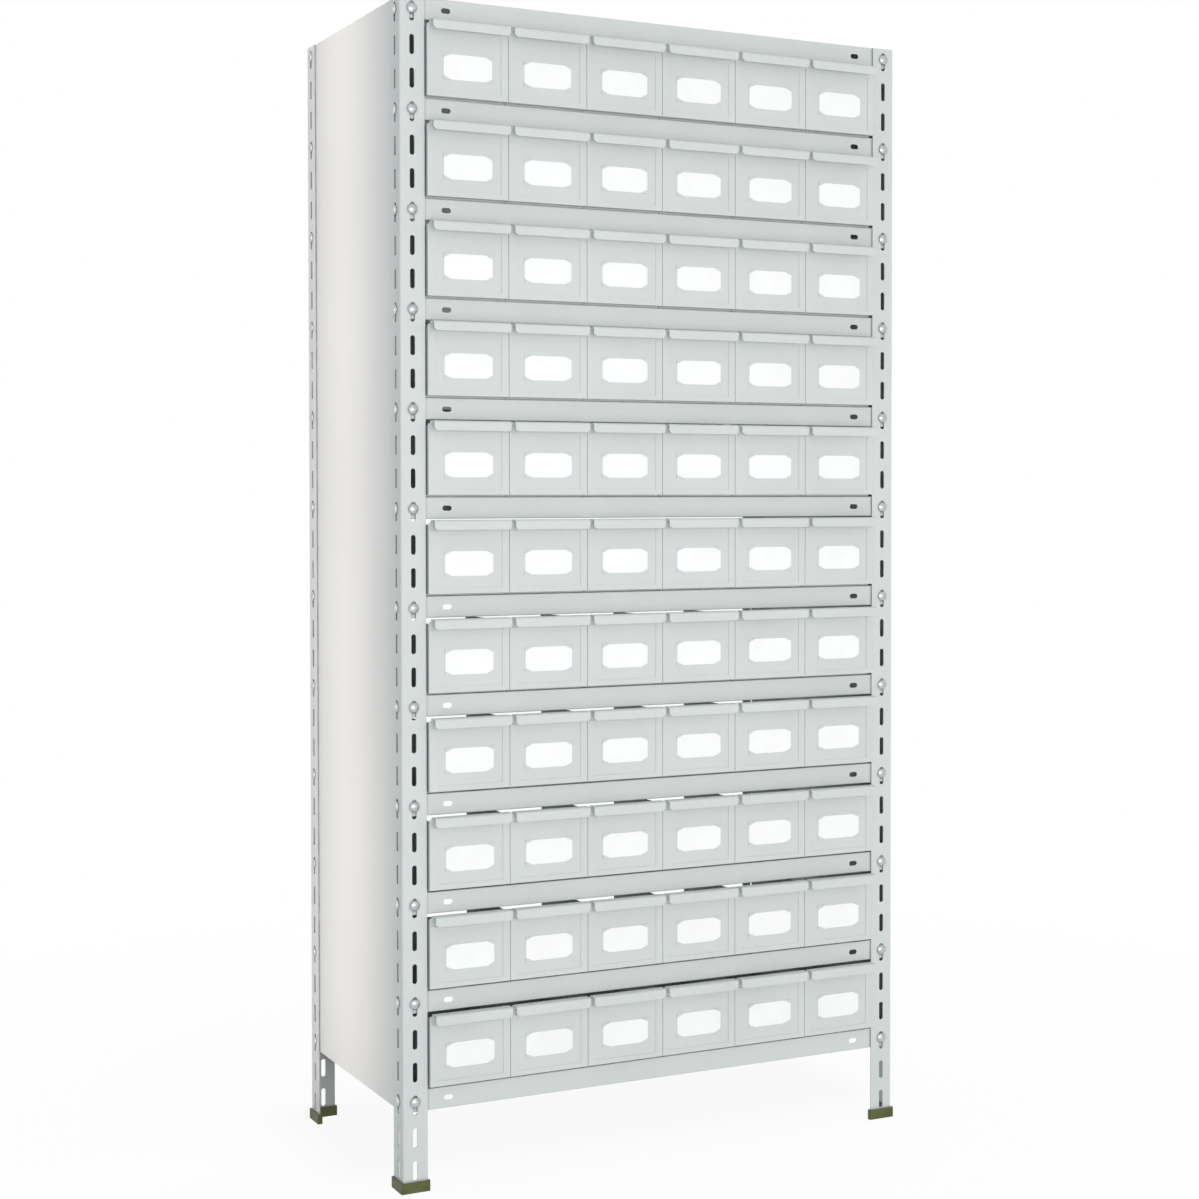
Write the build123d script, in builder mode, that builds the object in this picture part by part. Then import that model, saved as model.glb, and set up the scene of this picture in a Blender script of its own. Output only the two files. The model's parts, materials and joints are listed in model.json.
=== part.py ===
"""Steel shelving unit: four slotted angle posts, bolted sheet shelves, two side panels,
plastic foot caps and a row of sheet steel drawers on every shelf but the top one, each row
with a stop angle behind it. The back is open.

The origin is on the floor, in the middle of the outline. The drawers open towards -Y.
All sizes are in millimetres.
"""

import os

from build123d import *

os.makedirs("parts", exist_ok=True)

# Overall sizes, over the outer faces of the posts
unit_width = 875.0
unit_depth = 450.0

# Posts: equal angles with one line of slots in each flange
post_length = 1800.0
post_flange = 40.0
post_wall = 2.0
post_inner_radius = 1.0
slot_length = 30.0
slot_clearance = 1.5
slot_pitch = 50.0
slot_top_inset = 22.0

# Foot caps: the post stands on the sole
foot_sole = 5.0
foot_height = 16.0
foot_wall = 3.0
foot_clearance = 0.2
foot_corner = 1.5

# Bolts and nuts at the shelf corners
bolt_diameter = 6.0
bolt_rise = 4.0
bolt_tail = 2.0
bolt_hole_clearance = 0.6
head_diameter = 15.5
head_height = 4.0
head_rim = 1.2
nut_across_flats = 10.0
nut_height = 5.0
nut_chamfer = 0.5
thread_gap = 0.1

# Shelves: one folded sheet each, with a lip on all four sides
slots_per_shelf = 3
leg_clearance = 100.0
lip_below_bolt = 15.0
shelf_sheet = 0.8
shelf_inner_radius = 0.8
shelf_return = 12.0
shelf_corner_relief = 3.0
lip_hole_length = 15.0
lip_hole_width = 8.0
lip_hole_inset = 75.0
lip_hole_drop = 17.0

# Side panels, held between the posts and the shelf lips
panel_sheet = 0.6
panel_edge_gap = 2.0

# Drawers: a folded tray with a front whose top edge is folded over as the pull
drawer_columns = 6
single_drawer_rows = 7
drawer_depth = 178.0
drawer_end_gap = 2.1
drawer_gap = 0.8
drawer_run_gap = 0.3
drawer_head_gap = 1.6
drawer_proud = 5.0
drawer_side_step = 7.0
drawer_back_step = 32.0
drawer_sheet = 0.8
drawer_inner_radius = 0.8
drawer_hem = 8.0
front_floor_gap = 3.0
toe_depth = 12.0
strip_width = 11.5
foot_strip_height = 8.0
strip_head_gap = 2.0
pull_reach = 19.0
pull_lip = 15.0
pull_inset = 3.0
pull_inner_radius = 3.5
pull_corner = 4.0

# Label card on each drawer front, held by four pressed corner tabs
card_width = 79.0
card_height = 38.0
card_rise = 48.5
card_room = 0.5
tab_length = 13.0
tab_height = 6.0
tab_sheet = 0.5
tab_margin = 0.6

# Stops: an angle across each shelf, behind its drawers
stop_height = 15.0
stop_foot = 15.0
stop_sheet = 1.5
stop_inner_radius = 1.0
stop_gap = 1.0
stop_end_gap = 5.0

cut_overrun = 1.0

# Places that follow from the sizes
half_width = unit_width / 2
front_reach = drawer_proud + pull_reach
rear_reach = head_height
post_front = front_reach - (front_reach + unit_depth + rear_reach) / 2
post_rear = post_front + unit_depth
mid_depth = (post_front + post_rear) / 2
post_top = foot_sole + post_length

slot_width = bolt_diameter + slot_clearance
slot_count = int((post_length - slot_top_inset - slot_length / 2) // slot_pitch) + 1
slot_levels = [post_length - slot_top_inset - i * slot_pitch for i in range(slot_count)]

shelf_pitch = slots_per_shelf * slot_pitch
bolt_drop = slot_top_inset - bolt_rise
shelf_lip = bolt_drop + lip_below_bolt
drawer_rows = int((post_length - shelf_lip - leg_clearance) // shelf_pitch)
shelf_tops = [post_top - level * shelf_pitch for level in range(drawer_rows + 1)]

shelf_half_width = half_width - post_wall - panel_sheet
shelf_front = post_front + post_wall
shelf_rear = post_rear - post_wall
shelf_depth = shelf_rear - shelf_front

bolt_across = half_width - post_flange / 2
bolt_front = post_front + post_flange / 2
bolt_rear = post_rear - post_flange / 2
bolt_hole_radius = (bolt_diameter + bolt_hole_clearance) / 2

drawer_pitch = (unit_width - 2 * post_flange - 2 * drawer_end_gap) / drawer_columns
drawer_width = drawer_pitch - drawer_gap
drawer_front = post_front - drawer_proud
drawer_rear = drawer_front + drawer_depth
tray_length = drawer_depth - drawer_sheet
front_height = shelf_pitch - shelf_lip - drawer_run_gap - drawer_head_gap
side_height = front_height - drawer_side_step


def save(piece, name):
    """Label a finished piece and write it under its name."""
    piece.label = name
    export_step(piece, f"parts/{name}.step")


def add_copies(piece, places):
    """Copy a finished piece to each place, inside the block that is open."""
    with Locations(*places):
        add(piece)


# Slotted angle posts. Each stands in its corner, with its flanges along the plane's X and Y.
corner_planes = {
    "front_left": Plane((-half_width, post_front, foot_sole), x_dir=(1, 0, 0)),
    "front_right": Plane((half_width, post_front, foot_sole), x_dir=(0, 1, 0)),
    "rear_right": Plane((half_width, post_rear, foot_sole), x_dir=(-1, 0, 0)),
    "rear_left": Plane((-half_width, post_rear, foot_sole), x_dir=(0, -1, 0)),
}


def angle_section(plane, end_gap, side_gap):
    """Section of the angle on a plane, grown by a gap at its ends and on its sides."""
    middle = post_wall / 2
    end = post_flange + end_gap
    with BuildSketch(plane) as section:
        with BuildLine():
            FilletPolyline(
                (end, middle),
                (middle, middle),
                (middle, end),
                radius=post_inner_radius + middle,
            )
        trace(line_width=post_wall + 2 * side_gap)
    return section.sketch


for corner, corner_plane in corner_planes.items():
    slot_planes = [
        Plane(corner_plane.origin, x_dir=(0, 0, 1), z_dir=corner_plane.y_dir),
        Plane(corner_plane.origin, x_dir=(0, 0, 1), z_dir=-corner_plane.x_dir),
    ]
    with BuildPart() as post:
        add(angle_section(corner_plane, 0, 0))
        extrude(amount=post_length)
        for slot_plane in slot_planes:
            with BuildSketch(slot_plane):
                with Locations(*[(level, post_flange / 2) for level in slot_levels]):
                    SlotOverall(slot_length, slot_width)
            extrude(amount=post_wall + cut_overrun, both=True, mode=Mode.SUBTRACT)
    save(post.part, f"post_{corner}")

# Foot caps: an angle-shaped cup under each post
foot_outset = foot_clearance + foot_wall
foot_band = post_wall + 2 * foot_outset
foot_span = post_flange + 2 * foot_outset

with BuildPart() as foot_caps:
    for corner_plane in corner_planes.values():
        with BuildSketch(corner_plane.offset(-foot_sole)) as foot_outline:
            with Locations((-foot_outset, -foot_outset)):
                Rectangle(foot_span, foot_band, align=(Align.MIN, Align.MIN))
                Rectangle(foot_band, foot_span, align=(Align.MIN, Align.MIN))
            fillet(foot_outline.vertices(), radius=foot_corner)
        extrude(amount=foot_height)
        add(angle_section(corner_plane, foot_clearance, foot_clearance))
        extrude(amount=foot_height, mode=Mode.SUBTRACT)
save(foot_caps.part, "foot_caps")

# Shelf, with the top of its deck at height zero
lip_middle = shelf_sheet / 2
shelf_bend = shelf_inner_radius + lip_middle

with BuildPart() as shelf:
    with BuildSketch(Plane.YZ.offset(shelf_corner_relief - shelf_half_width)):
        with BuildLine():
            FilletPolyline(
                (shelf_front + shelf_return, lip_middle - shelf_lip),
                (shelf_front + lip_middle, lip_middle - shelf_lip),
                (shelf_front + lip_middle, -lip_middle),
                (shelf_rear - lip_middle, -lip_middle),
                (shelf_rear - lip_middle, lip_middle - shelf_lip),
                (shelf_rear - shelf_return, lip_middle - shelf_lip),
                radius=shelf_bend,
            )
        trace(line_width=shelf_sheet)
    extrude(amount=2 * (shelf_half_width - shelf_corner_relief))
    for side in (-1, 1):
        with BuildSketch(Plane.XZ.offset(shelf_corner_relief - shelf_rear)):
            with BuildLine():
                FilletPolyline(
                    (side * (shelf_half_width - 2 * shelf_corner_relief), -lip_middle),
                    (side * (shelf_half_width - lip_middle), -lip_middle),
                    (side * (shelf_half_width - lip_middle), -shelf_lip),
                    radius=shelf_bend,
                )
            trace(line_width=shelf_sheet)
        extrude(amount=shelf_depth - 2 * shelf_corner_relief)
    with BuildSketch(Plane.XZ.offset(-mid_depth)):
        with Locations((-bolt_across, -bolt_drop), (bolt_across, -bolt_drop)):
            Circle(bolt_hole_radius)
        with GridLocations(2 * (half_width - lip_hole_inset), 0, 2, 1):
            with Locations((0, -lip_hole_drop)):
                SlotOverall(lip_hole_length, lip_hole_width)
    extrude(amount=unit_depth, both=True, mode=Mode.SUBTRACT)
    with BuildSketch(Plane.YZ):
        with Locations((bolt_front, -bolt_drop), (bolt_rear, -bolt_drop)):
            Circle(bolt_hole_radius)
    extrude(amount=unit_width, both=True, mode=Mode.SUBTRACT)

shelf_groups = {
    "top_shelf": shelf_tops[:1],
    "middle_shelves": shelf_tops[1:-1],
    "bottom_shelf": shelf_tops[-1:],
}
for name, tops in shelf_groups.items():
    with BuildPart() as shelf_group:
        add_copies(shelf.part, [(0, 0, top) for top in tops])
    save(shelf_group.part, name)

# Side panels, from the lowest lip to the top of the top shelf
panel_bottom = shelf_tops[-1] - shelf_lip
panel_height = shelf_tops[0] - panel_bottom
panel_width = unit_depth - 2 * (post_wall + panel_edge_gap)
bolt_levels = [top - bolt_drop for top in shelf_tops]
panel_holes = [(row, level) for row in (bolt_front, bolt_rear) for level in bolt_levels]

panel_starts = {"left": -shelf_half_width - panel_sheet, "right": shelf_half_width}
for side, start in panel_starts.items():
    with BuildPart() as side_panel:
        with BuildSketch(Plane.YZ.offset(start)):
            with Locations((mid_depth, panel_bottom + panel_height / 2)):
                Rectangle(panel_width, panel_height)
            with Locations(*panel_holes):
                Circle(bolt_hole_radius, mode=Mode.SUBTRACT)
        extrude(amount=panel_sheet)
    save(side_panel.part, f"side_panel_{side}")

# Corner bolts and nuts: one through each flange of each post, at every shelf
side_grip = post_wall + panel_sheet + shelf_sheet
lip_grip = post_wall + shelf_sheet

with BuildPart() as bolt:
    with BuildSketch(Plane.XZ):
        with BuildLine():
            Polyline(
                (0, head_height),
                (0, -side_grip - nut_height - bolt_tail),
                (bolt_diameter / 2, -side_grip - nut_height - bolt_tail),
                (bolt_diameter / 2, 0),
                (head_diameter / 2, 0),
                (head_diameter / 2, head_rim),
            )
            TangentArc((0, head_height), (head_diameter / 2, head_rim), tangent=(1, 0))
        make_face()
    revolve(axis=Axis.Z)

with BuildPart() as nut:
    with BuildSketch():
        RegularPolygon(nut_across_flats / 2, 6, major_radius=False)
        Circle(bolt_diameter / 2 + thread_gap, mode=Mode.SUBTRACT)
    extrude(amount=nut_height)
    chamfer(nut.edges().filter_by(GeomType.CIRCLE), length=nut_chamfer)

bolt_seats = []
nut_seats = []
for level in bolt_levels:
    for side in (-1, 1):
        seats = [
            ((side * bolt_across, post_front, level), (0, -1, 0), lip_grip),
            ((side * bolt_across, post_rear, level), (0, 1, 0), lip_grip),
            ((side * half_width, bolt_front, level), (side, 0, 0), side_grip),
            ((side * half_width, bolt_rear, level), (side, 0, 0), side_grip),
        ]
        for seat, outward, grip in seats:
            bolt_seats.append(Plane(seat, x_dir=(0, 0, 1), z_dir=outward))
            inward = -Vector(outward)
            nut_seats.append(Plane(seat, x_dir=(0, 0, 1), z_dir=inward).offset(grip))

with BuildPart() as corner_bolts:
    add_copies(bolt.part, bolt_seats)
save(corner_bolts.part, "corner_bolts")

with BuildPart() as corner_nuts:
    add_copies(nut.part, nut_seats)
save(corner_nuts.part, "corner_nuts")

# Drawer, in the middle of its shelf, with the top of the shelf at height zero
sheet_middle = drawer_sheet / 2
tray_bend = drawer_inner_radius + sheet_middle
tray_side = drawer_width / 2 - sheet_middle
tray_floor = drawer_run_gap + sheet_middle
tray_top = drawer_run_gap + side_height
back_top = tray_top - drawer_back_step
front_top = drawer_run_gap + front_height
front_bottom = drawer_run_gap + front_floor_gap
flange_top = front_bottom + drawer_sheet
front_middle = drawer_front + sheet_middle
pull_middle = drawer_front - pull_reach + sheet_middle
pull_bend = pull_inner_radius + sheet_middle
front_plate_top = front_top - drawer_sheet - pull_inner_radius
lip_bottom = front_top - pull_lip
strip_top = lip_bottom - strip_head_gap
pull_end = drawer_width / 2 - pull_inset
card_middle = drawer_run_gap + card_rise

rear_plane = Plane((0, drawer_rear, 0), x_dir=(1, 0, 0), z_dir=(0, -1, 0))
face_plane = Plane((0, drawer_front, 0), x_dir=(1, 0, 0), z_dir=(0, -1, 0))
inner_plane = face_plane.offset(-drawer_sheet)
lip_plane = face_plane.offset(pull_reach)
pull_plane = Plane.YZ.offset(-pull_end)

with BuildPart() as drawer:
    # Floor and sides
    with BuildSketch(rear_plane):
        with BuildLine():
            FilletPolyline(
                (-tray_side, tray_top),
                (-tray_side, tray_floor),
                (tray_side, tray_floor),
                (tray_side, tray_top),
                radius=tray_bend,
            )
        trace(line_width=drawer_sheet)
    extrude(amount=tray_length)
    # Folded rims on the sides and the back
    with BuildSketch(rear_plane):
        with Locations((0, tray_top)):
            Rectangle(drawer_width, drawer_hem, align=(Align.CENTER, Align.MAX))
            Rectangle(
                drawer_width - 4 * drawer_sheet,
                drawer_hem,
                align=(Align.CENTER, Align.MAX),
                mode=Mode.SUBTRACT,
            )
    extrude(amount=tray_length)
    with BuildSketch(rear_plane):
        with Locations((0, back_top)):
            Rectangle(drawer_width, drawer_hem, align=(Align.CENTER, Align.MAX))
    extrude(amount=2 * drawer_sheet)
    # Back wall, lower than the sides, and front wall
    for wall_plane, wall_top in ((rear_plane, back_top), (inner_plane.offset(-drawer_sheet), tray_top)):
        with BuildSketch(wall_plane):
            with Locations((0, tray_floor)):
                Rectangle(drawer_width, wall_top - tray_floor, align=(Align.CENTER, Align.MIN))
        extrude(amount=drawer_sheet)
    # Toe recess below the front, closed above and behind
    with BuildSketch(inner_plane):
        Rectangle(drawer_width + 2 * cut_overrun, 2 * front_bottom)
    extrude(amount=-toe_depth, mode=Mode.SUBTRACT)
    with BuildSketch(inner_plane):
        with Locations((0, front_bottom)):
            Rectangle(drawer_width, drawer_sheet, align=(Align.CENTER, Align.MIN))
    extrude(amount=-toe_depth)
    with BuildSketch(inner_plane.offset(-toe_depth)):
        with Locations((0, tray_floor)):
            Rectangle(drawer_width, flange_top - tray_floor, align=(Align.CENTER, Align.MIN))
    extrude(amount=-drawer_sheet)
    # Front plate, and the raised strips down its sides and along its foot
    with BuildSketch(face_plane):
        with Locations((0, front_bottom)):
            Rectangle(drawer_width, front_plate_top - front_bottom, align=(Align.CENTER, Align.MIN))
    extrude(amount=-drawer_sheet)
    with BuildSketch(face_plane):
        with Locations((0, front_bottom)):
            Rectangle(drawer_width, strip_top - front_bottom, align=(Align.CENTER, Align.MIN))
        with Locations((0, front_bottom + foot_strip_height)):
            Rectangle(
                drawer_width - 2 * strip_width,
                strip_top - front_bottom,
                align=(Align.CENTER, Align.MIN),
                mode=Mode.SUBTRACT,
            )
    extrude(amount=drawer_sheet)
    # Pull: the top of the front folded forward and down
    with BuildSketch(pull_plane):
        with BuildLine():
            FilletPolyline(
                (front_middle, card_middle),
                (front_middle, front_top - sheet_middle),
                (pull_middle, front_top - sheet_middle),
                (pull_middle, lip_bottom),
                radius=pull_bend,
            )
        trace(line_width=drawer_sheet)
    extrude(amount=2 * pull_end)
    # Lower corners of the pull cut off
    with BuildSketch(lip_plane):
        for side in (-1, 1):
            with BuildLine():
                Polyline(
                    (side * (pull_end + cut_overrun), lip_bottom - cut_overrun),
                    (side * (pull_end - pull_corner - cut_overrun), lip_bottom - cut_overrun),
                    (side * (pull_end + cut_overrun), lip_bottom + pull_corner + cut_overrun),
                    close=True,
                )
            make_face()
    extrude(amount=drawer_sheet + cut_overrun, both=True, mode=Mode.SUBTRACT)
    # Corner tabs over the label card
    for side in (-1, 1):
        for end in (-1, 1):
            card_x = side * card_width / 2
            card_z = card_middle + end * card_height / 2
            with BuildSketch(face_plane):
                with BuildLine():
                    Polyline(
                        (card_x + side * tab_margin, card_z + end * tab_margin),
                        (card_x - side * tab_length, card_z + end * tab_margin),
                        (card_x + side * tab_margin, card_z - end * tab_height),
                        close=True,
                    )
                make_face()
            extrude(amount=card_room + tab_sheet)
    with BuildSketch(face_plane):
        with Locations((0, card_middle)):
            Rectangle(card_width, card_height)
    extrude(amount=card_room, mode=Mode.SUBTRACT)

# Stop angles, on every shelf but the top one
stop_middle = stop_sheet / 2
stop_front = drawer_rear + stop_gap
stop_half_length = shelf_half_width - stop_end_gap

with BuildPart() as stop:
    with BuildSketch(Plane.YZ.offset(-stop_half_length)):
        with BuildLine():
            FilletPolyline(
                (stop_front + stop_middle, stop_height),
                (stop_front + stop_middle, stop_middle),
                (stop_front + stop_foot, stop_middle),
                radius=stop_inner_radius + stop_middle,
            )
        trace(line_width=stop_sheet)
    extrude(amount=2 * stop_half_length)

with BuildPart() as drawer_stops:
    add_copies(stop.part, [(0, 0, top) for top in shelf_tops[1:]])
save(drawer_stops.part, "drawer_stops")

first_column = -(drawer_columns - 1) / 2 * drawer_pitch
column_places = [first_column + i * drawer_pitch for i in range(drawer_columns)]

# Rows are counted from the top, columns from the left
for row, shelf_top in enumerate(shelf_tops[1:], start=1):
    places = [(x, 0, shelf_top) for x in column_places]
    if row <= single_drawer_rows:
        for column, place in enumerate(places, start=1):
            with BuildPart() as single_drawer:
                add_copies(drawer.part, [place])
            save(single_drawer.part, f"drawer_r{row:02d}_c{column}")
    else:
        with BuildPart() as drawer_row:
            add_copies(drawer.part, places)
        save(drawer_row.part, f"drawer_row_{row:02d}")
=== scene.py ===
# %% [markdown]
# A steel shelving unit with drawers
#
# The unit is four slotted angle posts with twelve folded sheet shelves bolted between them,
# two side panels, four plastic foot caps and sixty-six small sheet steel drawers. All of that
# comes in as exact solids. What is left for Blender is the finish of every surface, the paper
# cards in the label frames, the turned bolts and a bright studio. All lengths are in metres.

# %% Load the frame
import json
from math import asin, radians

import bmesh
import bpy
from mathutils import Matrix, Vector

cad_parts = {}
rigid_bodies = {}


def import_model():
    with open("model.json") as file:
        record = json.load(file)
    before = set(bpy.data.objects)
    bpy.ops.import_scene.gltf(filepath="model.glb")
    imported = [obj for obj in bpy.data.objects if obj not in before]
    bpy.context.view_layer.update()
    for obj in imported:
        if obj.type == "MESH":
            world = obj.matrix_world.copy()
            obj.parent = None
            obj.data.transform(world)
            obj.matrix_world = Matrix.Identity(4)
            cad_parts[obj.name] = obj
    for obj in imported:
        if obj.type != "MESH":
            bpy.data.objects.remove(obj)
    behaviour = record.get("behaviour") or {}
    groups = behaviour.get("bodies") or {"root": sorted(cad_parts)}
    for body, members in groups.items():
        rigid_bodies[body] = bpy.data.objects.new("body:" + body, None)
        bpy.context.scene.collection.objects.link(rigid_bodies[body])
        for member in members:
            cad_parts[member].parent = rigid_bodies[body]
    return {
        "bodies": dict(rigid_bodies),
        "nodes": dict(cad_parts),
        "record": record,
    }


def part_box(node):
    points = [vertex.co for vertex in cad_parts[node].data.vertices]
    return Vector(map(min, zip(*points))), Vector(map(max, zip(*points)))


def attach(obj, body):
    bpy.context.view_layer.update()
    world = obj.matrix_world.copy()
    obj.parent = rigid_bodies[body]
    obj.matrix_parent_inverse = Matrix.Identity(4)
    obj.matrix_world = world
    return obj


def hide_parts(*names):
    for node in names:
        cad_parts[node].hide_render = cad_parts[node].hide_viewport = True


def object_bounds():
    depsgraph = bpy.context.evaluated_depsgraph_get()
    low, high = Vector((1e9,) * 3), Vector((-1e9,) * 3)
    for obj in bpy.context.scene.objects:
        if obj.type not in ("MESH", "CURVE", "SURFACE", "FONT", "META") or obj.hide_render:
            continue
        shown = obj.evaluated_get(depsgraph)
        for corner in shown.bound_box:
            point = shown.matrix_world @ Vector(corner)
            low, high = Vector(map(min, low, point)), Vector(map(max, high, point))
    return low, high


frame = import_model()
cad_low, cad_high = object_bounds()

# %% [markdown]
# Building node trees by hand takes three lines for every node: make it, set it, link it. A
# small helper does the three at once, so that the finishes below read like a list of what
# feeds what. A value is set on the socket, and another node's output is linked to it.

# %% Helpers for node trees
MIX_FACTOR, MIX_FIRST, MIX_SECOND, MIX_RESULT = 0, 6, 7, 2


def put(tree, kind, inputs=None, **settings):
    """Add a node, set its options, then fill or link its inputs."""
    node = tree.nodes.new(kind)
    for key, value in settings.items():
        setattr(node, key, value)
    for key, value in (inputs or {}).items():
        socket = node.inputs[key]
        if isinstance(value, bpy.types.NodeSocket):
            tree.links.new(value, socket)
        else:
            socket.default_value = value
    return node


def ramp(tree, value, start, end, low, high):
    """Stretch a value from the span start to end onto the span low to high."""
    inputs = {"Value": value, "From Min": start, "From Max": end, "To Min": low, "To Max": high}
    return put(tree, "ShaderNodeMapRange", inputs).outputs[0]


def times(tree, first, second):
    """Multiply two values."""
    return put(tree, "ShaderNodeMath", {0: first, 1: second}, operation="MULTIPLY").outputs[0]


def blend(tree, factor, first, second):
    """Mix two colours."""
    inputs = {MIX_FACTOR: factor, MIX_FIRST: first, MIX_SECOND: second}
    return put(tree, "ShaderNodeMix", inputs, data_type="RGBA").outputs[MIX_RESULT]


print("node helpers ready")

# %% [markdown]
# Nothing made in a workshop is even all over, so every finish here is broken up with noise. An
# image could do that too, but it would have to be unwrapped onto each folded piece. Noise on
# Object coordinates, in metres, needs no unwrapping and keeps its real size on a small drawer
# and on a tall post alike. Its values crowd around one half, so the two bands below say which
# part of them is stretched out.

# %% Helpers for noise
NARROW_BAND = (0.35, 0.65)
WIDE_BAND = (0.3, 0.7)


def object_place(tree):
    """The place on a piece, in metres from its origin."""
    return put(tree, "ShaderNodeTexCoord").outputs["Object"]


def noise(tree, place, per_metre, detail):
    """Noise whose lumps repeat so many times in a metre, as a value around one half."""
    inputs = {"Vector": place, "Scale": per_metre, "Detail": detail}
    return put(tree, "ShaderNodeTexNoise", inputs).outputs[0]


print("noise helpers ready")

# %% [markdown]
# An effect that several finishes share is built once as a node group and then placed in each
# of them with other values, as a stencil is used again and again. Copying the nodes into every
# material would look the same, but a later change would have to be made in all the copies.

# %% Helper for shared effects
VALUE, COLOUR = "NodeSocketFloat", "NodeSocketColor"


def new_group(name, inputs, outputs):
    """An empty shader group, with its inputs as (name, kind, value) and outputs as (name, kind)."""
    group = bpy.data.node_groups.new(name, "ShaderNodeTree")
    for label, kind, value in inputs:
        socket = group.interface.new_socket(label, in_out="INPUT", socket_type=kind)
        socket.default_value = value
    for label, kind in outputs:
        group.interface.new_socket(label, in_out="OUTPUT", socket_type=kind)
    entry = group.nodes.new("NodeGroupInput").outputs
    exit_ = group.nodes.new("NodeGroupOutput").inputs
    return group, entry, exit_


print("group helper ready")

# %% [markdown]
# Powder coat is sprayed on as dust and melted in an oven. It comes out even in colour, with a
# faint orange peel, and slightly cloudy where the film is thicker. The group puts out a colour,
# a roughness and a height that change over the surface. The peel is far too fine to model as
# shape, so its height only tilts the light.

# %% Paint film
paint_film, entry, exit_ = new_group(
    "paint_film",
    [
        ("Thick Colour", COLOUR, (0.7, 0.7, 0.7, 1)),
        ("Thin Colour", COLOUR, (0.6, 0.6, 0.6, 1)),
        ("Clouds Per Metre", VALUE, 6),
        ("Peel Per Metre", VALUE, 600),
        ("Smooth", VALUE, 0.4),
        ("Rough", VALUE, 0.5),
    ],
    [("Colour", COLOUR), ("Roughness", VALUE), ("Height", VALUE)],
)
place = object_place(paint_film)
clouds = noise(paint_film, place, entry["Clouds Per Metre"], 3)
cloudy = ramp(paint_film, clouds, *NARROW_BAND, 0, 1)
peel = noise(paint_film, place, entry["Peel Per Metre"], 1)
film_colour = blend(paint_film, cloudy, entry["Thin Colour"], entry["Thick Colour"])
film_rough = ramp(paint_film, peel, *WIDE_BAND, entry["Smooth"], entry["Rough"])
paint_film.links.new(film_colour, exit_["Colour"])
paint_film.links.new(film_rough, exit_["Roughness"])
paint_film.links.new(peel, exit_["Height"])
print("group", paint_film.name, "has", len(paint_film.nodes), "nodes")

# %% [markdown]
# Dust settles only on what faces up, and never evenly. It could be strewn as particles, but a
# film this thin is only a change of colour. The group reads the surface's own normal, keeps
# what points to the sky, and breaks it up with noise.

# %% Settled dust
DUST_FROM, DUST_FULL = 0.6, 1
DUST_THINNEST = 0.2

settled_dust, entry, exit_ = new_group(
    "settled_dust",
    [("Patches Per Metre", VALUE, 20), ("Amount", VALUE, 0.3)],
    [("Mask", VALUE)],
)
place = object_place(settled_dust)
normal = put(settled_dust, "ShaderNodeNewGeometry").outputs["Normal"]
upward = put(settled_dust, "ShaderNodeSeparateXYZ", {0: normal}).outputs["Z"]
facing = ramp(settled_dust, upward, DUST_FROM, DUST_FULL, 0, 1)
lumps = noise(settled_dust, place, entry["Patches Per Metre"], 5)
patches = ramp(settled_dust, lumps, *WIDE_BAND, DUST_THINNEST, 1)
dust = times(settled_dust, times(settled_dust, facing, patches), entry["Amount"])
settled_dust.links.new(dust, exit_["Mask"])
print("group", settled_dust.name, "has", len(settled_dust.nodes), "nodes")

# %% [markdown]
# Handling rubs the edges of sheet metal first. Painting each edge by hand would take days. The
# Bevel node gives the normal that a slightly rounded edge would have, and where it turns away
# from the true normal, there is an edge. Noise breaks the line up, because no edge wears evenly.

# %% Rubbed edges
EDGE_STARTS, EDGE_FULL = 0.97, 0.75
RUBS_PER_METRE = 60
RUB_BAND = (0.4, 0.65)

rubbed_edges, entry, exit_ = new_group(
    "rubbed_edges",
    [("Width", VALUE, 0.001), ("Amount", VALUE, 0.3)],
    [("Mask", VALUE)],
)
place = object_place(rubbed_edges)
flat = put(rubbed_edges, "ShaderNodeNewGeometry").outputs["Normal"]
rounded = put(rubbed_edges, "ShaderNodeBevel", {"Radius": entry["Width"]}, samples=4).outputs[0]
compared = {0: flat, 1: rounded}
agree = put(rubbed_edges, "ShaderNodeVectorMath", compared, operation="DOT_PRODUCT")
edge = ramp(rubbed_edges, agree.outputs["Value"], EDGE_STARTS, EDGE_FULL, 0, 1)
broken = ramp(rubbed_edges, noise(rubbed_edges, place, RUBS_PER_METRE, 4), *RUB_BAND, 0, 1)
rub = times(rubbed_edges, times(rubbed_edges, edge, broken), entry["Amount"])
rubbed_edges.links.new(rub, exit_["Mask"])
print("group", rubbed_edges.name, "has", len(rubbed_edges.nodes), "nodes")

# %% [markdown]
# Where one sheet meets another, painted shade darkens the colour of the seam, as a shadow
# would. The Ambient Occlusion node looks a few millimetres around each point: the more steel it
# finds there, the darker the painted shade. Noise keeps the line from being drawn with a ruler.

# %% Painted shade in the seams
SEAM_SHADE_STARTS, SEAM_SHADE_FULL = 0.92, 0.55
SEAM_SHADE_LUMPS_PER_METRE = 45
SEAM_SHADE_BAND = (0.3, 0.6)
SEAM_SHADE_THINNEST = 0.6

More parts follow.
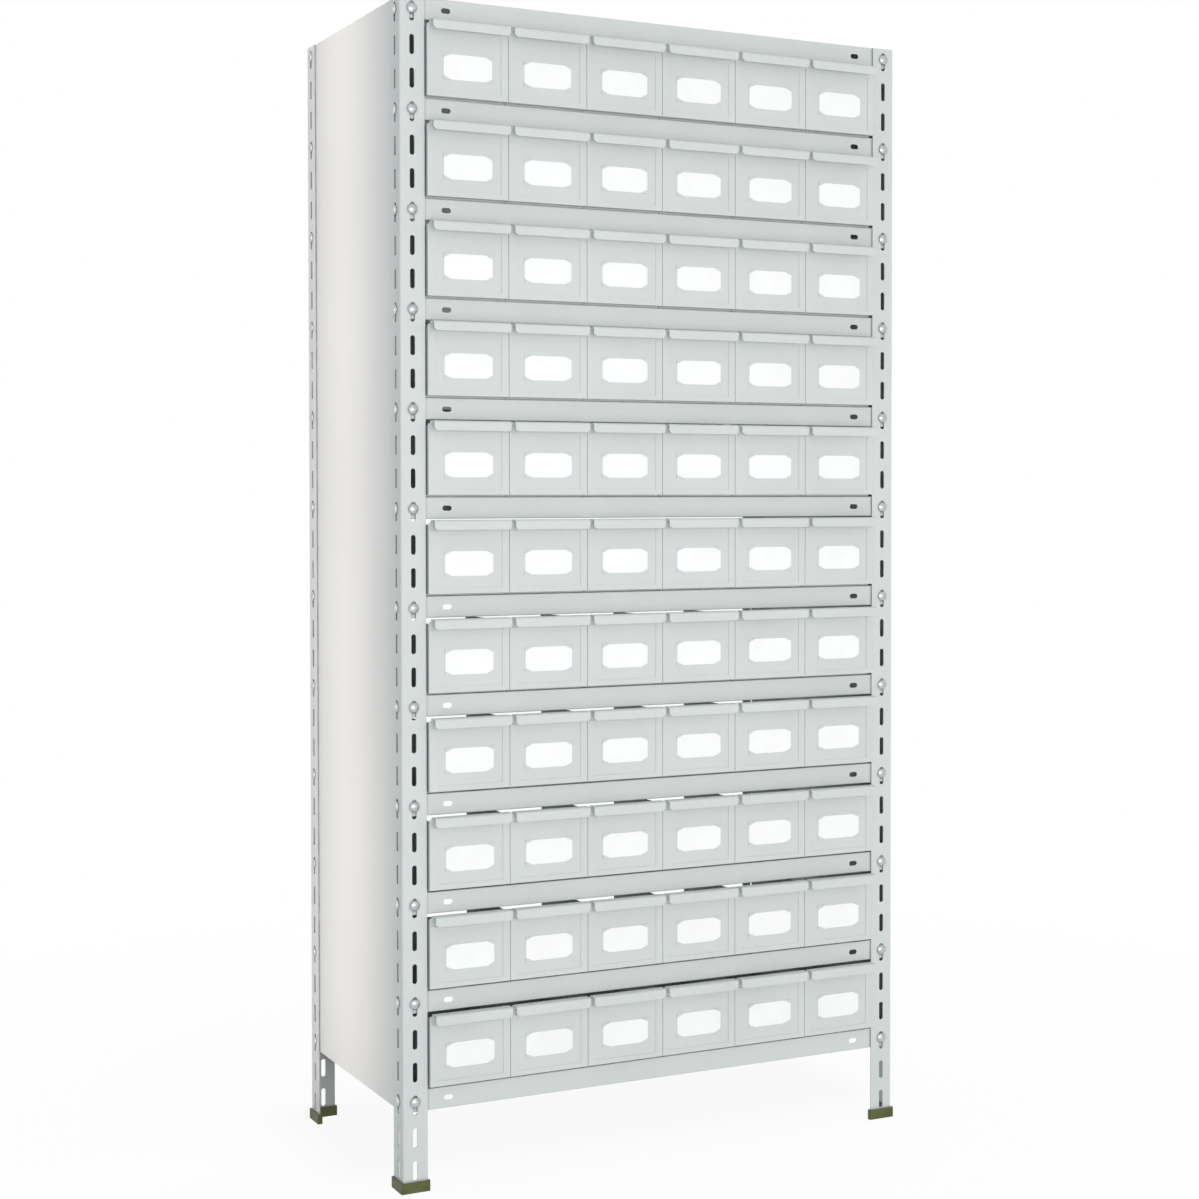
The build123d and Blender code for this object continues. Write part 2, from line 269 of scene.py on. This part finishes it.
painted_seam_shade, entry, exit_ = new_group(
    "painted_seam_shade",
    [("Reach", VALUE, 0.005), ("Amount", VALUE, 0.8)],
    [("Mask", VALUE)],
)
place = object_place(painted_seam_shade)
around = {"Distance": entry["Reach"]}
open_sky = put(painted_seam_shade, "ShaderNodeAmbientOcclusion", around, samples=4).outputs["AO"]
closed = ramp(painted_seam_shade, open_sky, SEAM_SHADE_STARTS, SEAM_SHADE_FULL, 0, 1)
lumps = noise(painted_seam_shade, place, SEAM_SHADE_LUMPS_PER_METRE, 3)
uneven = ramp(painted_seam_shade, lumps, *SEAM_SHADE_BAND, SEAM_SHADE_THINNEST, 1)
seam_shade = times(painted_seam_shade, times(painted_seam_shade, closed, uneven), entry["Amount"])
painted_seam_shade.links.new(seam_shade, exit_["Mask"])
print("group", painted_seam_shade.name, "has", len(painted_seam_shade.nodes), "nodes")

# %% [markdown]
# Every finish ends in the same three links: a colour, a roughness and a tilted normal go into
# the Principled shader. The shader itself stays in the material, where an export can find it.

# %% Helpers for finishes


def new_finish(name):
    """A new material, with its node tree and its shader."""
    material = bpy.data.materials.new(name)
    material.use_nodes = True
    return material, material.node_tree, material.node_tree.nodes["Principled BSDF"]


def use_group(tree, group, inputs):
    """Place a shared effect in a finish, with its own values."""
    return put(tree, "ShaderNodeGroup", inputs, node_tree=group).outputs


def bumped(tree, height, strength, depth):
    """A normal that is tilted by a fine height."""
    inputs = {"Strength": strength, "Distance": depth, "Height": height}
    return put(tree, "ShaderNodeBump", inputs).outputs["Normal"]


def feed(tree, shader, colour, roughness, normal):
    """Link what changes over the surface to the shader."""
    tree.links.new(colour, shader.inputs["Base Color"])
    tree.links.new(roughness, shader.inputs["Roughness"])
    tree.links.new(normal, shader.inputs["Normal"])


finishes = {}
print("finish helpers ready")

# %% [markdown]
# All the steel of the unit has the same cool light grey coat, but each kind of piece carries
# it in its own way: posts are handled and show rubbed slots, shelves gather dust, the large
# side panels have broad clouds and the strongest painted shade along the posts, and drawers
# are the cleanest. One function makes the four, and the film, the dust, the rubbed edges and
# the painted seam shade are placed in each with its own values.

# %% Painted finishes
COAT_COLOUR = Vector((0.644, 0.671, 0.665))
DUST_COLOUR = (0.50, 0.49, 0.46, 1)
BARE_EDGE_COLOUR = (0.80, 0.81, 0.80, 1)
# painted shade: the colour that seams and corners are darkened towards
SEAM_SHADE_COLOUR = (0.09, 0.10, 0.10, 1)
CLOUD_DEPTH = 0.965
ROUGH_SPAN = 0.1
DUST_PER_METRE = 25
RUB_WIDTH = 0.0012
SEAM_SHADE_REACH = 0.005
PEEL_STRENGTH, PEEL_DEPTH = 0.12, 0.0004


def paint(name, tint, clouds, peel, smooth, dust, rub, seam_shade):
    """A powder-coated finish of the unit's grey, with painted shade in its seams."""
    material, tree, shader = new_finish(name)
    film_inputs = {
        "Thick Colour": tuple(COAT_COLOUR * tint) + (1,),
        "Thin Colour": tuple(COAT_COLOUR * tint * CLOUD_DEPTH) + (1,),
        "Clouds Per Metre": clouds,
        "Peel Per Metre": peel,
        "Smooth": smooth,
        "Rough": smooth + ROUGH_SPAN,
    }
    film = use_group(tree, paint_film, film_inputs)
    dust_inputs = {"Patches Per Metre": DUST_PER_METRE, "Amount": dust}
    dusted = use_group(tree, settled_dust, dust_inputs)["Mask"]
    rubbed = use_group(tree, rubbed_edges, {"Width": RUB_WIDTH, "Amount": rub})["Mask"]
    seam_shade_mask = use_group(tree, painted_seam_shade, {"Reach": SEAM_SHADE_REACH, "Amount": seam_shade})["Mask"]
    colour = blend(tree, dusted, film["Colour"], DUST_COLOUR)
    colour = blend(tree, rubbed, colour, BARE_EDGE_COLOUR)
    # painted shade: seams are darkened where the Ambient Occlusion node finds steel close by
    colour = blend(tree, seam_shade_mask, colour, SEAM_SHADE_COLOUR)
    normal = bumped(tree, film["Height"], PEEL_STRENGTH, PEEL_DEPTH)
    feed(tree, shader, colour, film["Roughness"], normal)
    finishes[name] = material


# the last value sets how much painted shade each finish gets in its seams
paint("post_paint", tint=1.0, clouds=9, peel=650, smooth=0.42, dust=0.2, rub=0.35, seam_shade=0.7)
paint("shelf_paint", tint=0.985, clouds=5, peel=600, smooth=0.42, dust=0.3, rub=0.3, seam_shade=0.85)
paint("panel_paint", tint=1.0, clouds=2.5, peel=550, smooth=0.38, dust=0.1, rub=0.2, seam_shade=1.0)
paint("drawer_paint", tint=1.0, clouds=7, peel=650, smooth=0.42, dust=0.25, rub=0.3, seam_shade=0.1)
print("painted finishes:", ", ".join(finishes))

# %% [markdown]
# The bolts and nuts are bright zinc plate. A light grey paint would look like plaster here:
# metal shows little besides its reflections, so Metallic is one, the base colour is the tint
# of those reflections, and the cloudy look of the plating comes from the roughness.

# %% Zinc plate
ZINC_DULL, ZINC_BRIGHT = (0.46, 0.48, 0.49, 1), (0.56, 0.57, 0.58, 1)
PLATING_PER_METRE, ZINC_GRAIN_PER_METRE = 350, 2500
ZINC_SMOOTH, ZINC_ROUGH = 0.28, 0.46
ZINC_STRENGTH, ZINC_DEPTH = 0.15, 0.0002

zinc, tree, shader = new_finish("zinc")
place = object_place(tree)
plating = noise(tree, place, PLATING_PER_METRE, 4)
spangle = ramp(tree, plating, *NARROW_BAND, 0, 1)
zinc_colour = blend(tree, spangle, ZINC_DULL, ZINC_BRIGHT)
zinc_rough = ramp(tree, plating, *WIDE_BAND, ZINC_SMOOTH, ZINC_ROUGH)
grain = noise(tree, place, ZINC_GRAIN_PER_METRE, 2)
feed(tree, shader, zinc_colour, zinc_rough, bumped(tree, grain, ZINC_STRENGTH, ZINC_DEPTH))
shader.inputs["Metallic"].default_value = 1
finishes["zinc"] = zinc
print("finish", zinc.name, "has", len(tree.nodes), "nodes")

# %% [markdown]
# The foot caps are moulded in dark olive plastic with a fine spark-eroded grain. They share the
# dust and the rubbed edges with the paint, since a foot picks up both on the floor.

# %% Olive plastic
OLIVE_DEEP, OLIVE_PALE = (0.066, 0.074, 0.013, 1), (0.098, 0.110, 0.022, 1)
FOOT_DUST_COLOUR = (0.30, 0.29, 0.24, 1)
FOOT_EDGE_COLOUR = (0.20, 0.205, 0.10, 1)
FLOW_PER_METRE, MOULD_GRAIN_PER_METRE = 40, 1400
PLASTIC_SMOOTH, PLASTIC_ROUGH = 0.42, 0.62
PLASTIC_STRENGTH, PLASTIC_DEPTH = 0.25, 0.0003

plastic, tree, shader = new_finish("foot_plastic")
place = object_place(tree)
flow = ramp(tree, noise(tree, place, FLOW_PER_METRE, 3), *NARROW_BAND, 0, 1)
grain = noise(tree, place, MOULD_GRAIN_PER_METRE, 3)
dusted = use_group(tree, settled_dust, {"Patches Per Metre": 60, "Amount": 0.25})["Mask"]
rubbed = use_group(tree, rubbed_edges, {"Width": 0.001, "Amount": 0.4})["Mask"]
olive = blend(tree, flow, OLIVE_DEEP, OLIVE_PALE)
olive = blend(tree, dusted, olive, FOOT_DUST_COLOUR)
olive = blend(tree, rubbed, olive, FOOT_EDGE_COLOUR)
plastic_rough = ramp(tree, grain, *WIDE_BAND, PLASTIC_SMOOTH, PLASTIC_ROUGH)
feed(tree, shader, olive, plastic_rough, bumped(tree, grain, PLASTIC_STRENGTH, PLASTIC_DEPTH))
finishes["foot_plastic"] = plastic
print("finish", plastic.name, "has", len(tree.nodes), "nodes")

# %% [markdown]
# The label cards are plain white card stock. Paper is a felt of short fibres, so its texture is
# a noise stretched along one direction, as the sheet ran through the mill.

# %% Card stock
CARD_SHADE, CARD_WHITE = (0.93, 0.93, 0.92, 1), (0.955, 0.955, 0.95, 1)
MILL_STRETCH = (0.35, 1, 1)
FIBRES_PER_METRE, TONES_PER_METRE = 1800, 30
CARD_SMOOTH, CARD_ROUGH = 0.7, 0.85
FIBRE_STRENGTH, FIBRE_DEPTH = 0.2, 0.0001
CARD_SHINE = 0.3

card_stock, tree, shader = new_finish("card_stock")
place = object_place(tree)
stretched = {"Vector": place, "Scale": MILL_STRETCH}
along_mill = put(tree, "ShaderNodeMapping", stretched).outputs[0]
fibre = noise(tree, along_mill, FIBRES_PER_METRE, 4)
tone = ramp(tree, noise(tree, place, TONES_PER_METRE, 2), *NARROW_BAND, 0, 1)
card_colour = blend(tree, tone, CARD_SHADE, CARD_WHITE)
card_rough = ramp(tree, fibre, *WIDE_BAND, CARD_SMOOTH, CARD_ROUGH)
feed(tree, shader, card_colour, card_rough, bumped(tree, fibre, FIBRE_STRENGTH, FIBRE_DEPTH))
shader.inputs["Specular IOR Level"].default_value = CARD_SHINE
print("finish", card_stock.name, "has", len(tree.nodes), "nodes")

# %% [markdown]
# Each solid already knows which finish it takes: the record lists a material slot for every
# node. Handing the finishes out is one loop.

# %% Finish the solids
for subpart in frame["record"]["subparts"]:
    node = frame["nodes"][subpart["node"]]
    node.data.materials.clear()
    node.data.materials.append(finishes[subpart["material_slot"]])

# %% [markdown]
# A label card is a stiff slip of paper pushed under four pressed tabs on the drawer's front. A
# single plane would do from afar, but it has no edge to catch the light, so the card is cut
# from a flat grid, rounded at its corners and given the thickness of card.

# %% Cut a label card
CARD_WIDTH = 0.0785
CARD_HEIGHT = 0.0379
CARD_SHEET = 0.00035
CARD_CORNER = 0.0015
CORNER_STEPS = 3


def card_blank():
    """One card, standing upright at the origin with its back against the plane y = 0."""
    card = bmesh.new()
    bmesh.ops.create_grid(card, x_segments=1, y_segments=1, size=0.5)
    bmesh.ops.scale(card, vec=(CARD_WIDTH, CARD_HEIGHT, 1), verts=card.verts)
    bmesh.ops.bevel(
        card,
        geom=card.verts[:],
        offset=CARD_CORNER,
        affect="VERTICES",
        segments=CORNER_STEPS,
        profile=0.5,
        material=-1,
    )
    upright = Matrix.Rotation(radians(90), 3, "X")
    bmesh.ops.rotate(card, matrix=upright, verts=card.verts)
    bmesh.ops.recalc_face_normals(card, faces=card.faces)
    face = bmesh.ops.extrude_face_region(card, geom=card.faces[:])
    moved = [item for item in face["geom"] if isinstance(item, bmesh.types.BMVert)]
    bmesh.ops.translate(card, vec=(0, -CARD_SHEET, 0), verts=moved)
    bmesh.ops.recalc_face_normals(card, faces=card.faces)
    mesh = bpy.data.meshes.new("card_blank")
    card.to_mesh(mesh)
    card.free()
    return mesh


blank = card_blank()
print("card blank:", len(blank.polygons), "faces")

# %% [markdown]
# Sixty-six cards could be sixty-six objects. But the six drawers of a low row move together, so
# all the cards of one body are gathered into one piece, which rides on that body. The drawers'
# own boxes say where the fronts are, so nothing is placed by eye.

# %% Copy the cards to the drawers
CARD_RISE = 0.0485  # from the drawer's underside up to the card's middle
CARD_SEAT = 0.00005  # a hair of air behind the card
PULL_REACH = 0.019  # how far the pull stands out from the front

drawer_low, drawer_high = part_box("drawer_r01_c1")
drawer_width = drawer_high.x - drawer_low.x


def copies(name, blank_mesh, places, material):
    """One piece made of a copy of a mesh at each place."""
    gathered = bmesh.new()
    for matrix in places:
        start = len(gathered.verts)
        gathered.from_mesh(blank_mesh)
        gathered.verts.ensure_lookup_table()
        bmesh.ops.transform(gathered, matrix=matrix, verts=gathered.verts[start:])
    mesh = bpy.data.meshes.new(name)
    gathered.to_mesh(mesh)
    gathered.free()
    mesh.materials.append(material)
    piece = bpy.data.objects.new(name, mesh)
    bpy.context.scene.collection.objects.link(piece)
    return piece


def card_places(node):
    """Where the cards of a drawer node stand: one for a single drawer, several for a row."""
    low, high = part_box(node)
    spare = high.x - low.x - drawer_width
    count = round(spare / drawer_width) + 1
    pitch = spare / max(count - 1, 1)
    front = low.y + PULL_REACH - CARD_SEAT
    centres = [low.x + drawer_width / 2 + i * pitch for i in range(count)]
    return [Matrix.Translation((x, front, low.z + CARD_RISE)) for x in centres]


drawer_bodies = [body for body in frame["bodies"] if body.startswith("drawer")]
for body in drawer_bodies:
    places = card_places(body)
    cards = copies(body.replace("drawer", "cards"), blank, places, card_stock)
    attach(cards, body)

# %% [markdown]
# The bolts have low domed heads. The solid's heads are cut into few facets, so here they are
# turned instead: a vertex is spun into the arc of the dome, drawn on to the rim and the shank,
# and the finished outline is spun once round its axis, as on a lathe.

# %% Turn a bolt
BOLT_RADIUS = 0.003
BOLT_LENGTH = 0.0104
BOLT_TIP = 0.0008
HEAD_RADIUS = 0.00775
HEAD_HEIGHT = 0.004
HEAD_RIM = 0.0012
RIM_ROUND = 0.0004
DOME_RISE = HEAD_HEIGHT - HEAD_RIM
DOME_RADIUS = (HEAD_RADIUS**2 + DOME_RISE**2) / (2 * DOME_RISE)
DOME_STEPS, TURN_STEPS = 6, 20
SAME_POINT = 1e-6  # vertices closer than this are one


def bolt_outline(bolt):
    """Draw half the bolt's section into a bmesh, from the crown down to the tip."""
    crown = bolt.verts.new((0, 0, HEAD_HEIGHT))
    dome = bmesh.ops.spin(
        bolt,
        geom=[crown],
        cent=(0, 0, HEAD_HEIGHT - DOME_RADIUS),
        axis=(0, 1, 0),
        angle=asin(HEAD_RADIUS / DOME_RADIUS),
        steps=DOME_STEPS,
    )
    last = [item for item in dome["geom_last"] if isinstance(item, bmesh.types.BMVert)][0]
    outline = [
        (HEAD_RADIUS, 0, RIM_ROUND),
        (HEAD_RADIUS - RIM_ROUND, 0, 0),
        (BOLT_RADIUS, 0, 0),
        (BOLT_RADIUS, 0, BOLT_TIP - BOLT_LENGTH),
        (BOLT_RADIUS - BOLT_TIP, 0, -BOLT_LENGTH),
        (0, 0, -BOLT_LENGTH),
    ]
    for point in outline:
        step = bmesh.ops.extrude_vert_indiv(bolt, verts=[last])
        last = step["verts"][0]
        last.co = point


def turned_bolt():
    """A bolt at the origin, with its head above the plane z = 0 and its shank below."""
    bolt = bmesh.new()
    bolt_outline(bolt)
    bmesh.ops.spin(
        bolt,
        geom=bolt.verts[:] + bolt.edges[:],
        cent=(0, 0, 0),
        axis=(0, 0, 1),
        angle=radians(360),
        steps=TURN_STEPS,
        use_merge=True,
    )
    bmesh.ops.remove_doubles(bolt, verts=bolt.verts, dist=SAME_POINT)
    bmesh.ops.recalc_face_normals(bolt, faces=bolt.faces)
    for face in bolt.faces:
        face.smooth = True
    mesh = bpy.data.meshes.new("turned_bolt")
    bolt.to_mesh(mesh)
    bolt.free()
    return mesh


bolt_mesh = turned_bolt()
print("turned bolt:", len(bolt_mesh.polygons), "faces")

# %% [markdown]
# A bolt sits in the middle of each flange of each post, at every shelf. Both places follow from
# the boxes of the posts and of the shelves, so the bolts stay in their holes.

# %% Seat the bolts
BOLT_DROP = 0.018  # from a shelf's top down to its bolts
SHELF_COUNT = 12

top_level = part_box("top_shelf")[1].z - BOLT_DROP
low_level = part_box("bottom_shelf")[1].z - BOLT_DROP
level_step = (top_level - low_level) / (SHELF_COUNT - 1)
seats = []
for corner in ("front_left", "front_right", "rear_left", "rear_right"):
    low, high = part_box("post_" + corner)
    middle = (low + high) / 2
    face_y, out_y = (low.y, -1) if "front" in corner else (high.y, 1)
    face_x, out_x = (low.x, -1) if "left" in corner else (high.x, 1)
    for i in range(SHELF_COUNT):
        level = low_level + i * level_step
        seats.append(((middle.x, face_y, level), (0, out_y, 0)))
        seats.append(((face_x, middle.y, level), (out_x, 0, 0)))

bolt_places = []
for seat, outward in seats:
    turn = Vector(outward).to_track_quat("Z", "Y").to_matrix().to_4x4()
    bolt_places.append(Matrix.Translation(seat) @ turn)
turned_bolts = copies("turned_bolts", bolt_mesh, bolt_places, zinc)
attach(turned_bolts, "frame")
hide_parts("corner_bolts")
print("turned bolts:", len(bolt_places))

# %% [markdown]
# The unit stands on a plain white sheet that reaches far past the camera. A studio would curve
# it up behind the object, but this unit is looked at from all sides, so the sheet stays flat.
# It lies a hair below the feet, so that the two don't flicker into each other.

# %% Floor
FLOOR_SIZE = 30.0
FLOOR_DROP = 0.0003

floor_mesh = bmesh.new()
bmesh.ops.create_grid(floor_mesh, x_segments=1, y_segments=1, size=FLOOR_SIZE / 2)
bmesh.ops.translate(floor_mesh, vec=(0, 0, -FLOOR_DROP), verts=floor_mesh.verts)
floor_data = bpy.data.meshes.new("floor")
floor_mesh.to_mesh(floor_data)
floor_mesh.free()
floor = bpy.data.objects.new("floor", floor_data)
bpy.context.scene.collection.objects.link(floor)
print("floor:", FLOOR_SIZE, "m square")

# %% [markdown]
# To the eye, the floor has to vanish into the white background and still hold a soft shadow
# under the feet. More light would bleach the unit as well, so the floor glows instead: rays
# that show it mix plain white with a small share of its true shading near the unit.

# %% Floor seen by the camera
SHADOW_NEAR, SHADOW_FAR = 0.5, 2.0
WHITE_NEAR = 0.94


def seen_directly(tree):
    """One for rays that show the background: straight, mirrored or through glass."""
    path = put(tree, "ShaderNodeLightPath").outputs
    mirrored = {0: path["Is Camera Ray"], 1: path["Is Glossy Ray"]}
    first = put(tree, "ShaderNodeMath", mirrored, operation="MAXIMUM").outputs[0]
    through = {0: first, 1: path["Is Transmission Ray"]}
    return put(tree, "ShaderNodeMath", through, operation="MAXIMUM").outputs[0]


white_floor = bpy.data.materials.new("white_floor")
white_floor.use_nodes = True
tree = white_floor.node_tree
tree.nodes.clear()
place = object_place(tree)
distance = put(tree, "ShaderNodeVectorMath", {0: place}, operation="LENGTH").outputs["Value"]
whiteness = ramp(tree, distance, SHADOW_NEAR, SHADOW_FAR, WHITE_NEAR, 1)
glow_share = times(tree, whiteness, seen_directly(tree))
glow = put(tree, "ShaderNodeEmission", {"Color": (1, 1, 1, 1), "Strength": 1}).outputs[0]
print("floor glows to", WHITE_NEAR, "near the unit")

# %% [markdown]
# For all other light the floor is an ordinary white sheet, which throws light up onto the lower
# drawers. Under the unit a real floor is dim, and the rear legs look dark against it. A patch
# of dark colour there keeps the bounced light away from the legs; the glow hides it from view.

# %% Floor seen by the light
FLOOR_WHITE, FLOOR_SHADE = 0.92, 0.05
SHADE_CENTRE = (0, 0.1, 0)
SHADE_HALF_WIDTH, SHADE_HALF_DEPTH = 0.44, 0.15
SHADE_SOFT = 0.1

from_centre = {0: place, 1: SHADE_CENTRE}
apart = put(tree, "ShaderNodeVectorMath", from_centre, operation="SUBTRACT").outputs["Vector"]
reach = put(tree, "ShaderNodeVectorMath", {0: apart}, operation="ABSOLUTE").outputs["Vector"]
reach = put(tree, "ShaderNodeSeparateXYZ", {0: reach}).outputs
in_width = ramp(tree, reach["X"], SHADE_HALF_WIDTH, SHADE_HALF_WIDTH + SHADE_SOFT, 1, 0)
in_depth = ramp(tree, reach["Y"], SHADE_HALF_DEPTH, SHADE_HALF_DEPTH + SHADE_SOFT, 1, 0)
under_unit = times(tree, in_width, in_depth)
shade = ramp(tree, under_unit, 0, 1, FLOOR_WHITE, FLOOR_SHADE)
matt = put(tree, "ShaderNodeBsdfDiffuse", {"Color": shade}).outputs[0]
mixed = put(tree, "ShaderNodeMixShader", {0: glow_share, 1: matt, 2: glow}).outputs[0]
put(tree, "ShaderNodeOutputMaterial", {"Surface": mixed})
floor_data.materials.append(white_floor)
print("finish", white_floor.name, "has", len(tree.nodes), "nodes")

# %% [markdown]
# The light is that of a white studio. A dome all around does much of the work, so that every
# drawer front reads the same grey. It is weaker and a little cooler on the left, which lets
# the left panel fall off to a blue grey beside the front post. Rays that only look at the
# background get plain white.

# %% Dome of light
DOME_LEFT, DOME_RIGHT = 0.34, 1.12
COOL_LEFT, PLAIN_WHITE = (0.72, 0.97, 1.08, 1), (1, 1, 1, 1)
COOL_ENDS = -0.1

world = bpy.data.worlds.new("studio")
bpy.context.scene.world = world
world.use_nodes = True
tree = world.node_tree
tree.nodes.clear()
sky = put(tree, "ShaderNodeTexCoord").outputs["Generated"]
across = put(tree, "ShaderNodeSeparateXYZ", {0: sky}).outputs["X"]
level = ramp(tree, across, -1, 1, DOME_LEFT, DOME_RIGHT)
hue = blend(tree, ramp(tree, across, -1, COOL_ENDS, 0, 1), COOL_LEFT, PLAIN_WHITE)
dome = put(tree, "ShaderNodeBackground", {"Color": hue, "Strength": level}).outputs[0]
white = put(tree, "ShaderNodeBackground", {"Color": PLAIN_WHITE, "Strength": 1}).outputs[0]
sides = {0: seen_directly(tree), 1: dome, 2: white}
shown = put(tree, "ShaderNodeMixShader", sides).outputs[0]
put(tree, "ShaderNodeOutputWorld", {"Surface": shown})
print("dome from", DOME_LEFT, "on the left to", DOME_RIGHT, "on the right")

# %% [markdown]
# Two soft boxes add a direction. A large one stands in front, half way up, and lights the
# drawer fronts evenly from the top row to the lowest. A tall narrow strip close to the left
# panel lays a warm upright sheen on it. A sun lamp would be simpler, but its shadows are hard.

# %% Lamps
FRONT_PLACE = (-0.6, -4.2, 1.05)
FRONT_SIZE = (2.6, 1.2)
FRONT_POWER = 55.5
FRONT_WHITE = (1, 0.975, 0.96)
FRONT_SPREAD = 180
STRIP_DISTANCE, STRIP_DEPTH, STRIP_HEIGHT = 0.55, 0.06, 1.25
STRIP_SIZE = (0.16, 3.0)
STRIP_POWER = 2.22
STRIP_WARM = (1, 0.82, 0.74)
STRIP_SPREAD = 60


def soft_lamp(name, place, target, size, power, colour, spread):
    """A rectangular soft box that looks at a target and can't be seen itself."""
    lamp = bpy.data.lights.new(name, "AREA")
    lamp.shape = "RECTANGLE"
    lamp.size, lamp.size_y = size
    lamp.energy = power
    lamp.color = colour
    lamp.spread = radians(spread)
    box = bpy.data.objects.new(name, lamp)
    box.location = place
    box.rotation_euler = (Vector(target) - Vector(place)).to_track_quat("-Z", "Y").to_euler()
    box.visible_camera = False
    bpy.context.scene.collection.objects.link(box)


unit_middle = (0, 0, cad_high.z / 2)
front_look = (FRONT_PLACE, unit_middle, FRONT_SIZE)
soft_lamp("front_box", *front_look, FRONT_POWER, FRONT_WHITE, FRONT_SPREAD)
strip_place = (cad_low.x - STRIP_DISTANCE, STRIP_DEPTH, STRIP_HEIGHT)
strip_target = (0, STRIP_DEPTH, STRIP_HEIGHT)
strip_look = (strip_place, strip_target, STRIP_SIZE)
soft_lamp("side_strip", *strip_look, STRIP_POWER, STRIP_WARM, STRIP_SPREAD)
print("lamps:", len(bpy.data.lights))

# %% [markdown]
# The camera stands left of the unit, a little above its middle, and looks across the drawer
# fronts and the left panel. A long lens keeps the perspective flat, and the lens shift keeps
# the posts almost upright.

# %% Camera
CAMERA_PLACE = (-1.5419, -3.2729, 1.0635)
CAMERA_YAW = radians(27.746)
CAMERA_PITCH = radians(1.447)
CAMERA_LENS = 64.42
CAMERA_SHIFT = (-0.0821, -0.045)

camera_data = bpy.data.cameras.new("camera")
camera_data.lens = CAMERA_LENS
camera_data.shift_x, camera_data.shift_y = CAMERA_SHIFT
camera = bpy.data.objects.new("camera", camera_data)
camera.location = CAMERA_PLACE
camera.rotation_euler = (radians(90) - CAMERA_PITCH, 0, -CAMERA_YAW)
bpy.context.scene.collection.objects.link(camera)
bpy.context.scene.camera = camera
bpy.context.scene.view_settings.view_transform = "Standard"
print("camera at", CAMERA_PLACE)
